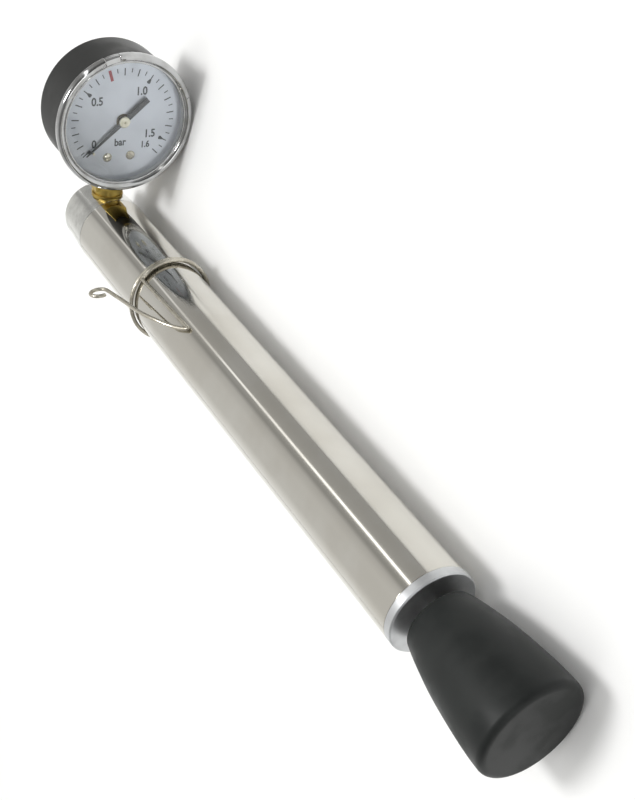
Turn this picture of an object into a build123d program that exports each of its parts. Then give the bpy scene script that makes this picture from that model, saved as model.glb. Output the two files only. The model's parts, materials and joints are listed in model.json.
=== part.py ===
from build123d import *
from math import asin, cos, degrees, radians, sin, sqrt
import os

# Hand air pump with a pressure gauge, 28 mm barrel.
#
# It is drawn in a bench frame, in millimetres: Y runs along the barrel from the grip to the cap,
# with zero at the outer face of the end collar, and the gauge stands up along +Z with its dial
# facing the grip. export_part() then lays the pump on its side, as it rests on a table: on the rim
# of the grip and the bezel of the gauge.

# ---- barrel ----
BARREL_R = 14.0
BORE_R = 12.8
COLLAR_RIM = 2.9
BARREL_END_Y = 222.0

# ---- end collar and rod guide ----
COLLAR_SPIGOT_END_Y = 14.0
WIPER_Y0, WIPER_Y1 = 2.0, 4.0
BUSH_R = 6.5
BUSH_FLANGE_R = 9.0
BUSH_FLANGE_END_Y = 15.5
BUFFER_END_Y = 19.5
RUNNING_GAP = 0.04

# ---- plunger ----
ROD_R = 4.0
SPIGOT_R = 3.0
STACK_BORE_R = SPIGOT_R + 0.04
ROD_SHOULDER_Y = 196.0
ROD_END_Y = 209.5
DISC_END_Y = 200.0
CUP_BASE_END_Y = 202.0
CUP_LIP_END_Y = 207.0
CUP_R = BORE_R - 0.05
WASHER_END_Y = 203.5
NUT_END_Y = 208.5
NUT_FLATS = 10.0

# ---- grip ----
GRIP_START_Y = -3.1
GRIP_END_Y = -43.5
GRIP_MOUTH_R = 10.7
GRIP_R = 16.3
GRIP_EDGE = 2.1
INSERT_R = 5.5
INSERT_START_Y, INSERT_END_Y = -4.0, -28.0
ROD_TAIL_Y = -24.0

# ---- cap at the head ----
CAP_END_Y = 242.8
CAP_END_R = 12.85
CAP_EDGE = 2.7
CAP_SPIGOT_Y = 210.0
O_RING_Y, O_RING_WIRE_R = 219.0, 0.95
SEAT_R, SEAT_END_Y, SEAT_HOLE_R = 5.0, 216.0, 1.5
CHAMBER_R, CHAMBER_END_Y = 4.0, 226.0
POPPET_R, POPPET_END_Y = 2.8, 218.4
PASSAGE_R = 1.8
PORT_R, PORT_LENGTH = 4.3, 9.8
STEM_Y = 230.0
STEM_R = 4.8
STEM_BOTTOM_Z = 6.0
GALLERY_R = 1.1
SPOT_FACE_Z, SPOT_FACE_R = 12.9, 6.5
WASHER_R, WASHER_THICK = 6.0, 1.4

# ---- gauge ----
GAUGE_Z = 48.5
BEZEL_R = 26.4
BEZEL_FRONT_Y = 213.5
BEZEL_END_Y = 216.2
BEZEL_WALL = 0.7
BEZEL_LIP_R = 22.9
WINDOW_FRONT_Y, WINDOW_BACK_Y, WINDOW_R = 214.6, 215.6, 25.4
GASKET_END_Y, GASKET_BORE_R = 216.2, 23.1
FLANGE_END_Y = 217.8
CASE_R, CASE_WALL = 25.1, 0.8
CASE_BACK_Y = 236.2
CASE_EDGE = 2.0
DIAL_Y, DIAL_THICK, DIAL_R, DIAL_HOLE_R = 217.7, 0.4, 23.9, 2.7
BLOCK_W, BLOCK_D = 14.0, 12.0
BLOCK_FRONT_Y = 224.0
BLOCK_BOTTOM_Z, BLOCK_TOP_Z = 17.5, 26.0
NECK_R = 5.5
SOCKET_X0, SOCKET_X1, SOCKET_TOP = -7.9, 5.4, -10.5
SOCKET_FRONT_Y, SOCKET_BACK_Y = 225.0, 235.2
POST_SPOTS = [(-5.8, -13.8), (3.3, -13.8)]
POST_R, SCREW_R, SCREW_HEAD_R = 1.9, 0.9, 1.75
TUBE_LINE_R, TUBE_W, TUBE_D, TUBE_SKIN = 18.5, 2.2, 8.0, 0.35
TUBE_MID_Y = 229.5
TUBE_START, TUBE_TIP = 262.0, 5.0
PLATE_THICK = 0.8
FRONT_PLATE_Y, BACK_PLATE_Y = 219.6, 224.2
ARBOR_R, ARBOR_GAP = 0.8, 0.05
PINION_TEETH, SECTOR_TEETH, MODULE = 12, 60, 0.25
SECTOR_Y, SECTOR_THICK = 222.0, 0.8
PINION_Y, PINION_LENGTH = 221.7, 1.4
SECTOR_PIVOT_ANGLE = -52.3
SECTOR_SPAN_LOW, SECTOR_SPAN_HIGH = -60.0, 4.0
TAIL_ANGLE, TAIL_LENGTH = -30.0, 5.0
LINK_Y, LINK_THICK = 221.3, 0.5
POINTER_Y, POINTER_THICK = 216.5, 0.3
POINTER_REST = 221.0
STOP_PIN_R, STOP_PIN_FRONT_Y = 0.45, 215.9
STOP_PIN_REACH, STOP_PIN_ANGLE = 16.2, 223.7
HUB_R, HUB_FRONT_Y = 2.1, 215.9

# ---- wire clip ----
WIRE_R = 0.7
COIL_R, COIL_PITCH, COIL_TURNS = 15.2, 1.45, 1.6
COIL_Y, COIL_X, COIL_Z = 168.28, 0.15, 0.28
COIL_TILT = 9.1
COIL_START = -48.7
HAIRPIN = (-10.0, 134.2, 10.9)
LEG_POINTS = [(-13.4, 140.4, 8.8), (-16.4, 146.2, 8.4), (-18.6, 153.9, 7.2), (-20.2, 165.3, 5.6)]
EYE_START = (-21.3, 176.9, 3.4)
EYE_R, EYE_TURN = 3.1, 290.0

# ---- how it lies on the table ----
LEAN = degrees(asin((BEZEL_R - GRIP_R) / GAUGE_Z))
REACH = GAUGE_Z * cos(radians(LEAN)) + BEZEL_R
BARREL_X = -(REACH - GRIP_R) / 2
BARREL_Y = -(CAP_END_Y + GRIP_END_Y) / 2
ON_TABLE = Location((BARREL_X, BARREL_Y, GRIP_R), (0, 90 - LEAN, 0))


# ---- helpers ----
def turned(*outline):
    """A solid turned about the barrel's axis, from its (radius, y) outline."""
    return revolve(make_face(Polyline(*outline, close=True)), Axis.Y)


def rod(r, y0, y1):
    """A round bar along the barrel's axis."""
    return turned((0, y0), (r, y0), (r, y1), (0, y1))


def sleeve(r_out, r_in, y0, y1):
    """A plain round sleeve along the barrel's axis."""
    return turned((r_in, y0), (r_out, y0), (r_out, y1), (r_in, y1))


def at_gauge(shape, x=0.0, z=0.0):
    """Moves a shape made on the barrel's axis to a place on the gauge."""
    return Pos(x, 0, GAUGE_Z + z) * shape


def upright(r, z0, z1, y):
    """A round bar standing along Z over the barrel's axis."""
    return Pos(0, y, (z0 + z1) / 2) * Cylinder(r, z1 - z0)


def block(x0, x1, y0, y1, z0, z1):
    """A box given by its low and high corners."""
    return Pos((x0 + x1) / 2, (y0 + y1) / 2, (z0 + z1) / 2) * Box(x1 - x0, y1 - y0, z1 - z0)


def on_clock(radius, angle):
    """x and z of a point at a radius and an angle from +X towards +Z."""
    return radius * cos(radians(angle)), radius * sin(radians(angle))


def hexagon(flats, r_in, y0, y1):
    """A hexagon nut along the barrel's axis, with chamfered ends."""
    corner_r = flats / sqrt(3)
    prism = extrude(Plane.XZ.offset(-y1) * RegularPolygon(corner_r, 6), y1 - y0)
    edge = (corner_r - flats / 2) * 0.6
    bar = turned(
        (r_in, y0), (flats / 2, y0), (corner_r, y0 + edge), (corner_r, y1 - edge),
        (flats / 2, y1), (r_in, y1),
    )
    return prism & bar


def plate(outline, y0, thick):
    """A flat plate facing along Y, from its (x, z) outline about the gauge's centre."""
    face = make_face(Polyline(*[(x, y0, z + GAUGE_Z) for x, z in outline], close=True))
    return extrude(face, thick, dir=(0, 1, 0))


def sum_of(shapes):
    """Identical pieces kept as separate solids in one node."""
    return Compound(children=list(shapes))


# ---- barrel ----
def barrel_tube():
    return sleeve(BARREL_R, BORE_R, COLLAR_RIM, BARREL_END_Y)


def end_collar():
    edge = 0.4
    return turned(
        (ROD_R + 0.5, 0), (BARREL_R - edge, 0), (BARREL_R, edge), (BARREL_R, COLLAR_RIM),
        (BORE_R, COLLAR_RIM), (BORE_R, COLLAR_SPIGOT_END_Y), (BUSH_R, COLLAR_SPIGOT_END_Y),
        (BUSH_R, WIPER_Y0), (ROD_R + 0.5, WIPER_Y0),
    )


def rod_wiper():
    return sleeve(BUSH_R, ROD_R + RUNNING_GAP, WIPER_Y0, WIPER_Y1)


def rod_guide_bush():
    bore_r = ROD_R + RUNNING_GAP
    return turned(
        (bore_r, WIPER_Y1), (BUSH_R, WIPER_Y1), (BUSH_R, COLLAR_SPIGOT_END_Y),
        (BUSH_FLANGE_R, COLLAR_SPIGOT_END_Y), (BUSH_FLANGE_R, BUSH_FLANGE_END_Y),
        (bore_r, BUSH_FLANGE_END_Y),
    )


def top_buffer():
    ring = sleeve(BUSH_FLANGE_R - 0.6, ROD_R + 0.3, BUSH_FLANGE_END_Y, BUFFER_END_Y)
    return fillet(ring.edges().filter_by(GeomType.CIRCLE).group_by(Axis.Y)[-1], 0.8)


# ---- plunger ----
def piston_rod():
    edge = 0.5
    return turned(
        (0, ROD_TAIL_Y), (SPIGOT_R - edge, ROD_TAIL_Y), (SPIGOT_R, ROD_TAIL_Y + edge),
        (SPIGOT_R, INSERT_START_Y), (ROD_R, INSERT_START_Y), (ROD_R, ROD_SHOULDER_Y),
        (SPIGOT_R, ROD_SHOULDER_Y), (SPIGOT_R, ROD_END_Y - edge), (SPIGOT_R - edge, ROD_END_Y),
        (0, ROD_END_Y),
    )


def piston_disc():
    r = BORE_R - 0.4
    edge = 0.6
    return turned(
        (STACK_BORE_R, ROD_SHOULDER_Y), (r - edge, ROD_SHOULDER_Y), (r, ROD_SHOULDER_Y + edge),
        (r, DISC_END_Y - edge), (r - edge, DISC_END_Y), (STACK_BORE_R, DISC_END_Y),
    )


def piston_cup():
    lip = 1.3
    return turned(
        (STACK_BORE_R, DISC_END_Y), (CUP_R - 0.8, DISC_END_Y), (CUP_R - 0.2, CUP_BASE_END_Y),
        (CUP_R, CUP_LIP_END_Y), (CUP_R - lip * 0.6, CUP_LIP_END_Y), (CUP_R - lip, CUP_LIP_END_Y - 1),
        (CUP_R - lip - 0.6, CUP_BASE_END_Y), (STACK_BORE_R, CUP_BASE_END_Y),
    )


def piston_washer():
    return sleeve(9.0, STACK_BORE_R, CUP_BASE_END_Y, WASHER_END_Y)


def piston_nut():
    return hexagon(NUT_FLATS, SPIGOT_R, WASHER_END_Y, NUT_END_Y)


# ---- handle ----
def handle_insert():
    groove_r = INSERT_R - 0.8
    return turned(
        (SPIGOT_R, INSERT_START_Y), (INSERT_R, INSERT_START_Y), (INSERT_R, -10), (groove_r, -11),
        (groove_r, -14), (INSERT_R, -15), (INSERT_R, INSERT_END_Y), (0, INSERT_END_Y),
        (0, ROD_TAIL_Y), (SPIGOT_R, ROD_TAIL_Y),
    )


def handle_grip():
    straight_y = GRIP_END_Y + GRIP_EDGE + 1.2
    flare = Spline(
        (GRIP_MOUTH_R, GRIP_START_Y), (13.2, -13.0), (14.9, -23.0), (GRIP_R, straight_y),
        tangents=[(0.33, -1), (0, -1)],
    )
    ends = Polyline(
        (GRIP_R, straight_y), (GRIP_R, GRIP_END_Y), (0, GRIP_END_Y), (0, GRIP_START_Y),
        (GRIP_MOUTH_R, GRIP_START_Y),
    )
    body = revolve(make_face(flare + ends), Axis.Y)
    rims = body.edges().filter_by(GeomType.CIRCLE).sort_by(Axis.Y)
    body = fillet(rims[0], GRIP_EDGE)
    body = fillet(body.edges().filter_by(GeomType.CIRCLE).sort_by(Axis.Y)[-1], 0.6)
    socket = rod(ROD_R, INSERT_START_Y, GRIP_START_Y + 1)
    return body - socket - rod(SPIGOT_R, ROD_TAIL_Y, INSERT_START_Y) - handle_insert()


# ---- head ----
def head_cap():
    joint = 0.25
    body = turned(
        (0, CAP_SPIGOT_Y), (BORE_R, CAP_SPIGOT_Y), (BORE_R, BARREL_END_Y),
        (BARREL_R - joint, BARREL_END_Y), (BARREL_R, BARREL_END_Y + joint),
        (CAP_END_R, CAP_END_Y), (0, CAP_END_Y),
    )
    body = fillet(body.edges().filter_by(GeomType.CIRCLE).sort_by(Axis.Y)[-1], CAP_EDGE)
    body -= sleeve(BORE_R + 1, BORE_R - 2 * O_RING_WIRE_R, O_RING_Y - 1.2, O_RING_Y + 1.2)
    body -= rod(SEAT_R, CAP_SPIGOT_Y, SEAT_END_Y)
    body -= rod(CHAMBER_R, SEAT_END_Y, CHAMBER_END_Y)
    port_y = CAP_END_Y - PORT_LENGTH
    body -= rod(PASSAGE_R, CHAMBER_END_Y, port_y)
    body -= rod(PORT_R, port_y, CAP_END_Y)
    lead = 0.7
    body -= turned((0, CAP_END_Y - lead), (PORT_R, CAP_END_Y - lead), (PORT_R + lead, CAP_END_Y),
                   (0, CAP_END_Y))
    body -= upright(PASSAGE_R, 0, STEM_BOTTOM_Z, STEM_Y)
    body -= upright(STEM_R, STEM_BOTTOM_Z, BARREL_R + 1, STEM_Y)
    body -= upright(SPOT_FACE_R, SPOT_FACE_Z, BARREL_R + 1, STEM_Y)
    return body


def head_o_ring():
    ring_r = BORE_R - O_RING_WIRE_R
    return revolve(Pos(ring_r, O_RING_Y) * Circle(O_RING_WIRE_R), Axis.Y)


def valve_seat():
    body = sleeve(SEAT_R, SEAT_HOLE_R, CAP_SPIGOT_Y, SEAT_END_Y)
    slot = block(-SEAT_R, SEAT_R, CAP_SPIGOT_Y, CAP_SPIGOT_Y + 0.8, -0.6, 0.6)
    return body - slot


def valve_poppet():
    lift = 0.02
    y0 = SEAT_END_Y + lift
    return turned(
        (0, y0), (POPPET_R, y0), (POPPET_R, POPPET_END_Y - 0.4), (POPPET_R - 0.4, POPPET_END_Y),
        (1.4, POPPET_END_Y), (1.4, POPPET_END_Y + 1.6), (0, POPPET_END_Y + 1.6),
    )


def valve_spring():
    wire_r = 0.25
    coil_r = 2.1
    y0, y1 = POPPET_END_Y + wire_r, CHAMBER_END_Y - wire_r
    path = Helix(pitch=(y1 - y0) / 4.5, height=y1 - y0, radius=coil_r)
    section = Plane(origin=path @ 0, z_dir=path % 0) * Circle(wire_r)
    coil = sweep(section, path, is_frenet=True)
    return Plane(origin=(0, y0, 0), x_dir=(1, 0, 0), z_dir=(0, 1, 0)) * coil


def gauge_washer():
    ring = Cylinder(WASHER_R, WASHER_THICK) - Cylinder(STEM_R + 0.1, WASHER_THICK)
    return Pos(0, STEM_Y, SPOT_FACE_Z + WASHER_THICK / 2) * ring


# ---- gauge connector and pressure tube ----
def bourdon_outline(width, depth):
    """The flat section of the pressure tube, in the plane of the gauge's centre line."""
    section = Pos(TUBE_LINE_R, TUBE_MID_Y) * RectangleRounded(width, depth, width * 0.45)
    arc = revolve(section, Axis.Y, TUBE_START - TUBE_TIP)
    return at_gauge(Rot(0, -TUBE_START, 0) * arc)


def bourdon_tube():
    inner = 2 * TUBE_SKIN
    return bourdon_outline(TUBE_W, TUBE_D) - bourdon_outline(TUBE_W - inner, TUBE_D - inner)


def gauge_connector():
    socket_top_z = GAUGE_Z + SOCKET_TOP
    body = upright(STEM_R, STEM_BOTTOM_Z, BLOCK_BOTTOM_Z, STEM_Y)
    body += upright(NECK_R, SPOT_FACE_Z + WASHER_THICK, BLOCK_BOTTOM_Z, STEM_Y)
    flats = block(
        -BLOCK_W / 2, BLOCK_W / 2, BLOCK_FRONT_Y, BLOCK_FRONT_Y + BLOCK_D, BLOCK_BOTTOM_Z, BLOCK_TOP_Z,
    )
    body += chamfer(flats.edges().filter_by(Axis.Z), 0.4)
    body += block(SOCKET_X0, SOCKET_X1, SOCKET_FRONT_Y, SOCKET_BACK_Y, 25.0, socket_top_z)
    body -= upright(GALLERY_R, STEM_BOTTOM_Z - 1, socket_top_z - 3, STEM_Y)
    body -= at_gauge(Pos(-1.5, STEM_Y, -TUBE_LINE_R) * Rot(0, 90, 0) * Cylinder(GALLERY_R / 2, 3.0))
    return body - bourdon_outline(TUBE_W, TUBE_D)


def bourdon_tip():
    tip_x, tip_z = on_clock(TUBE_LINE_R, TUBE_TIP)
    plug_turn = Rot(0, -TUBE_TIP, 0)
    plug = plug_turn * block(-1.6, 1.6, TUBE_MID_Y - 5, TUBE_MID_Y + 5, -3.0, 0)
    lug = plug_turn * block(-1.2, 1.2, LINK_Y + LINK_THICK + 0.2, TUBE_MID_Y - 4, -2.4, -0.6)
    return at_gauge(plug + lug, tip_x, tip_z)


# ---- movement ----
SECTOR_DISTANCE = MODULE * (PINION_TEETH + SECTOR_TEETH) / 2
PIVOT_X, PIVOT_Z = on_clock(SECTOR_DISTANCE, SECTOR_PIVOT_ANGLE)


def arbor_holes(y0, y1):
    """Running holes for the pinion's and the sector's arbors."""
    hole = rod(ARBOR_R + ARBOR_GAP, y0, y1)
    return at_gauge(hole) + at_gauge(hole, PIVOT_X, PIVOT_Z)


PILLAR_SPOTS = [(-6.5, 5.5), (-6.5, -5.5), (8.0, 5.5)]
MOVEMENT_SCREW_SPOTS = [(-1.25, -11.8), (-1.25, -15.4)]
TONGUE_X0, TONGUE_X1 = -3.8, 1.3


def movement_back_plate():
    y1 = BACK_PLATE_Y + PLATE_THICK
    outline = [
        (-8.5, 7.5), (10, 7.5), (10, -10.2), (TONGUE_X1, -10.2), (TONGUE_X1, -17.2),
        (TONGUE_X0, -17.2), (TONGUE_X0, -10.2), (-8.5, -10.2),
    ]
    body = plate(outline, BACK_PLATE_Y, PLATE_THICK) - arbor_holes(BACK_PLATE_Y, y1)
    for x, z in MOVEMENT_SCREW_SPOTS:
        body -= at_gauge(rod(1.0, BACK_PLATE_Y, y1), x, z)
    return body


def movement_front_plate():
    outline = [(-8.5, 7.5), (10, 7.5), (10, -9.5), (-8.5, -9.5)]
    y1 = FRONT_PLATE_Y + PLATE_THICK
    body = plate(outline, FRONT_PLATE_Y, PLATE_THICK) - arbor_holes(FRONT_PLATE_Y, y1)
    return body + at_gauge(rod(0.4, y1, y1 + 0.9), -4.85, 0)


def movement_pillars():
    pillar = rod(1.2, FRONT_PLATE_Y + PLATE_THICK, BACK_PLATE_Y)
    return sum_of(at_gauge(pillar, x, z) for x, z in PILLAR_SPOTS)


def movement_screws():
    head_y = BACK_PLATE_Y - 1.0
    head = rod(1.9, head_y, BACK_PLATE_Y) - block(-2, 2, head_y, head_y + 0.5, -0.25, 0.25)
    screw = head + rod(1.0, BACK_PLATE_Y, SOCKET_FRONT_Y)
    return sum_of(at_gauge(screw, x, z) for x, z in MOVEMENT_SCREW_SPOTS)


def teeth(count, first, last):
    """Trapezoid teeth on a pitch circle, from tooth number first to last, as one flat outline."""
    pitch_r = MODULE * count / 2
    step = 360 / count
    points = []
    for number in range(first, last + 1):
        centre = number * step
        for radius, offset in (
            (pitch_r - 1.15 * MODULE, -0.30), (pitch_r + 0.9 * MODULE, -0.10),
            (pitch_r + 0.9 * MODULE, 0.10), (pitch_r - 1.15 * MODULE, 0.30),
        ):
            points.append(on_clock(radius, centre + offset * step))
    return points


def pinion_arbor():
    outline = teeth(PINION_TEETH, 0, PINION_TEETH - 1)
    wheel = make_face(Polyline(*[(x, PINION_Y, z) for x, z in outline], close=True))
    half_tooth = 180 / PINION_TEETH
    wheel = Rot(0, -(SECTOR_PIVOT_ANGLE + half_tooth), 0) * extrude(wheel, PINION_LENGTH, dir=(0, 1, 0))
    return at_gauge(wheel + rod(ARBOR_R, HUB_FRONT_Y + 0.4, BACK_PLATE_Y + 0.6))


def sector_gear():
    step = 360 / SECTOR_TEETH
    first, last = round(SECTOR_SPAN_LOW / step), round(SECTOR_SPAN_HIGH / step)
    rim = teeth(SECTOR_TEETH, first, last)
    outline = rim + [on_clock(1.6, SECTOR_SPAN_HIGH + 50), on_clock(1.6, SECTOR_SPAN_LOW - 50)]
    mesh_angle = 180 + SECTOR_PIVOT_ANGLE
    fan = make_face(Polyline(*[(x, SECTOR_Y, z) for x, z in outline], close=True))
    fan = Rot(0, -mesh_angle, 0) * extrude(fan, SECTOR_THICK, dir=(0, 1, 0))
    tail = block(0, TAIL_LENGTH, SECTOR_Y, SECTOR_Y + SECTOR_THICK, -0.9, 0.9)
    tail += Pos(TAIL_LENGTH, 0, 0) * rod(1.2, SECTOR_Y, SECTOR_Y + SECTOR_THICK)
    tail -= Pos(TAIL_LENGTH, 0, 0) * rod(0.63, SECTOR_Y, SECTOR_Y + SECTOR_THICK)
    body = fan + Rot(0, -TAIL_ANGLE, 0) * tail
    body += rod(2.0, SECTOR_Y, SECTOR_Y + SECTOR_THICK)
    body += rod(ARBOR_R, FRONT_PLATE_Y + 0.1, BACK_PLATE_Y + PLATE_THICK - 0.1)
    return at_gauge(body, PIVOT_X, PIVOT_Z)


def link_plate():
    tail_x, tail_z = on_clock(TAIL_LENGTH, TAIL_ANGLE)
    low = (PIVOT_X + tail_x, PIVOT_Z + tail_z)
    tip_x, tip_z = on_clock(TUBE_LINE_R, TUBE_TIP)
    high = (tip_x - 0.1, tip_z - 1.5)
    run = sqrt((high[0] - low[0]) ** 2 + (high[1] - low[1]) ** 2)
    lean = degrees(asin((high[1] - low[1]) / run))
    y1 = LINK_Y + LINK_THICK
    bar = block(0, run, LINK_Y, y1, -0.8, 0.8) + rod(1.1, LINK_Y, y1) + Pos(run, 0, 0) * rod(1.1, LINK_Y, y1)
    bar += rod(0.6, LINK_Y - 0.4, SECTOR_Y + SECTOR_THICK + 0.1)
    bar += Pos(run, 0, 0) * rod(0.6, LINK_Y - 0.4, y1)
    return at_gauge(Rot(0, -lean, 0) * bar, *low)


def hairspring():
    half_turns, inner_r, outer_r, strip = 7, 1.3, 4.35, 0.18
    gain = (outer_r - inner_r) / half_turns
    y_mid = FRONT_PLATE_Y + PLATE_THICK + 0.45
    arcs = []
    radius = inner_r
    side = 1
    start = (inner_r, 0)
    for _ in range(half_turns):
        end = (start[0] - side * (2 * radius + gain), 0)
        mid_x = (start[0] + end[0]) / 2
        arcs.append(ThreePointArc(
            (start[0], y_mid, 0), (mid_x, y_mid, side * (radius + gain / 2)), (end[0], y_mid, 0),
        ))
        start = end
        radius += gain
        side = -side
    path = Wire(arcs)
    section = Plane(origin=path @ 0, x_dir=(1, 0, 0), z_dir=path % 0) * Rectangle(strip, 0.6)
    return at_gauge(sweep(section, path))


# ---- dial ----
def dial_plate():
    y1 = DIAL_Y + DIAL_THICK
    body = sleeve(DIAL_R, DIAL_HOLE_R, DIAL_Y, y1)
    for x, z in POST_SPOTS:
        body -= Pos(x, 0, z) * rod(SCREW_R, DIAL_Y, y1)
    pin_x, pin_z = on_clock(STOP_PIN_REACH, STOP_PIN_ANGLE)
    body -= Pos(pin_x, 0, pin_z) * rod(STOP_PIN_R, DIAL_Y, y1)
    return at_gauge(body)


def dial_posts():
    post = sleeve(POST_R, SCREW_R, DIAL_Y + DIAL_THICK, SOCKET_FRONT_Y)
    return sum_of(at_gauge(post, x, z) for x, z in POST_SPOTS)


def dial_screws():
    head_y = DIAL_Y - 0.9
    head = rod(SCREW_HEAD_R, head_y, DIAL_Y)
    head = fillet(head.edges().filter_by(GeomType.CIRCLE).sort_by(Axis.Y)[0], 0.5)
    head -= block(-2, 2, head_y, head_y + 0.35, -0.22, 0.22)
    screw = head + rod(SCREW_R, DIAL_Y, SOCKET_FRONT_Y)
    return sum_of(at_gauge(screw, x, z) for x, z in POST_SPOTS)


def stop_pin():
    pin_x, pin_z = on_clock(STOP_PIN_REACH, STOP_PIN_ANGLE)
    return at_gauge(rod(STOP_PIN_R, STOP_PIN_FRONT_Y, DIAL_Y + DIAL_THICK), pin_x, pin_z)


def pointer():
    y1 = POINTER_Y + POINTER_THICK
    blade = [(19.0, 0.25), (1.5, 0.75), (-1.5, 0.75), (-1.5, 1.1), (-12.0, 1.1), (-12.0, -1.1),
             (-1.5, -1.1), (-1.5, -0.75), (1.5, -0.75), (19.0, -0.25)]
    face = make_face(Polyline(*[(x, POINTER_Y, z) for x, z in blade], close=True))
    body = extrude(face, POINTER_THICK, dir=(0, 1, 0)) + rod(HUB_R - 0.1, POINTER_Y, y1)
    return at_gauge(Rot(0, -POINTER_REST, 0) * (body - rod(ARBOR_R, POINTER_Y, y1)))


def pointer_hub():
    dimple_r = 0.6
    body = turned(
        (0, HUB_FRONT_Y + 0.3), (dimple_r, HUB_FRONT_Y), (HUB_R - 0.2, HUB_FRONT_Y),
        (HUB_R, HUB_FRONT_Y + 0.2), (HUB_R, POINTER_Y), (0, POINTER_Y),
    )
    return at_gauge(body - rod(ARBOR_R, HUB_FRONT_Y + 0.4, POINTER_Y))


# ---- case ----
def gauge_case():
    wall_r = CASE_R - CASE_WALL
    flange_r = BEZEL_R - 0.4
    outer = turned(
        (0, GASKET_END_Y), (flange_r, GASKET_END_Y), (flange_r, FLANGE_END_Y - 0.8), (CASE_R, FLANGE_END_Y),
        (CASE_R, CASE_BACK_Y), (0, CASE_BACK_Y),
    )
    outer = fillet(outer.edges().filter_by(GeomType.CIRCLE).sort_by(Axis.Y)[-1], CASE_EDGE)
    body = outer - rod(wall_r, GASKET_END_Y, CASE_BACK_Y - CASE_WALL)
    room = 0.2
    return at_gauge(body) - block(
        -BLOCK_W / 2 - room, BLOCK_W / 2 + room, BLOCK_FRONT_Y - room, BLOCK_FRONT_Y + BLOCK_D + 2,
        BLOCK_BOTTOM_Z, BLOCK_TOP_Z + room,
    )


def window():
    return at_gauge(rod(WINDOW_R, WINDOW_FRONT_Y, WINDOW_BACK_Y))


def window_gasket():
    skirt_r = CASE_R - CASE_WALL - 0.1
    body = turned(
        (GASKET_BORE_R, WINDOW_BACK_Y), (WINDOW_R, WINDOW_BACK_Y), (WINDOW_R, GASKET_END_Y),
        (skirt_r, GASKET_END_Y), (skirt_r, DIAL_Y), (GASKET_BORE_R, DIAL_Y),
    )
    return at_gauge(body)


def bezel_ring():
    skirt_r = BEZEL_R - BEZEL_WALL
    crest_r = BEZEL_R - 1.4
    rim_y = BEZEL_FRONT_Y + 1.6
    body = turned(
        (BEZEL_LIP_R, WINDOW_FRONT_Y - 0.2), (crest_r - 1.3, WINDOW_FRONT_Y - 0.3),
        (crest_r - 0.75, BEZEL_FRONT_Y + 0.2), (crest_r, BEZEL_FRONT_Y), (crest_r + 0.7, BEZEL_FRONT_Y + 0.2),
        (BEZEL_R - 0.2, rim_y - 0.8), (BEZEL_R, rim_y), (BEZEL_R, rim_y + 0.4),
        (BEZEL_R - 0.3, BEZEL_END_Y), (skirt_r, BEZEL_END_Y), (skirt_r, WINDOW_FRONT_Y),
        (BEZEL_LIP_R, WINDOW_FRONT_Y),
    )
    return at_gauge(body)


# ---- wire clip ----
def wire_run(path):
    """Round wire along a path."""
    section = Plane(origin=path @ 0, z_dir=path % 0) * Circle(WIRE_R)
    return sweep(section, path, is_frenet=True)


def wire_clip():
    start = radians(COIL_START)
    coil = Helix(pitch=COIL_PITCH, height=COIL_PITCH * COIL_TURNS, radius=COIL_R)
    spin = Plane(origin=(0, 0, 0), x_dir=(sin(start), 0, cos(start)), z_dir=(0, 1, 0))
    seat = Location((COIL_X, COIL_Y, COIL_Z), (-COIL_TILT, 0, 0))
    coil = seat * (spin.location * coil)
    corner = coil @ 0
    leg = FilletPolyline(corner, HAIRPIN, *LEG_POINTS, EYE_START, radius=[1.0, 5.0, 8.0, 14.0, 20.0])
    ahead = leg % 1
    side = Vector(-0.97, 0, -0.1)
    side = (side - ahead * side.dot(ahead)).normalized()

    def on_eye(turn):
        a = radians(turn)
        return Vector(*EYE_START) + side * (EYE_R * (1 - cos(a))) + ahead * (EYE_R * sin(a))

    eye = ThreePointArc(on_eye(0), on_eye(EYE_TURN / 2), on_eye(EYE_TURN))
    body = wire_run(coil) + wire_run(leg) + wire_run(eye)
    return body + Pos(*corner) * Sphere(WIRE_R)


PARTS = {
    "barrel_tube": barrel_tube,
    "end_collar": end_collar,
    "rod_wiper": rod_wiper,
    "rod_guide_bush": rod_guide_bush,
    "top_buffer": top_buffer,
    "piston_rod": piston_rod,
    "piston_disc": piston_disc,
    "piston_cup": piston_cup,
    "piston_washer": piston_washer,
    "piston_nut": piston_nut,
    "handle_grip": handle_grip,
    "handle_insert": handle_insert,
    "head_cap": head_cap,
    "head_o_ring": head_o_ring,
    "valve_seat": valve_seat,
    "valve_poppet": valve_poppet,
    "valve_spring": valve_spring,
    "gauge_washer": gauge_washer,
    "gauge_connector": gauge_connector,
    "bourdon_tube": bourdon_tube,
    "bourdon_tip": bourdon_tip,
    "movement_back_plate": movement_back_plate,
    "movement_front_plate": movement_front_plate,
    "movement_pillars": movement_pillars,
    "movement_screws": movement_screws,
    "sector_gear": sector_gear,
    "pinion_arbor": pinion_arbor,
    "hairspring": hairspring,
    "link_plate": link_plate,
    "dial_plate": dial_plate,
    "dial_posts": dial_posts,
    "dial_screws": dial_screws,
    "stop_pin": stop_pin,
    "pointer": pointer,
    "pointer_hub": pointer_hub,
    "gauge_case": gauge_case,
    "window_gasket": window_gasket,
    "window": window,
    "bezel_ring": bezel_ring,
    "wire_clip": wire_clip,
}


def export_part():
    os.makedirs("parts", exist_ok=True)
    for name, make in PARTS.items():
        export_step(ON_TABLE * make(), f"parts/{name}.step")


export_part()
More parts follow.
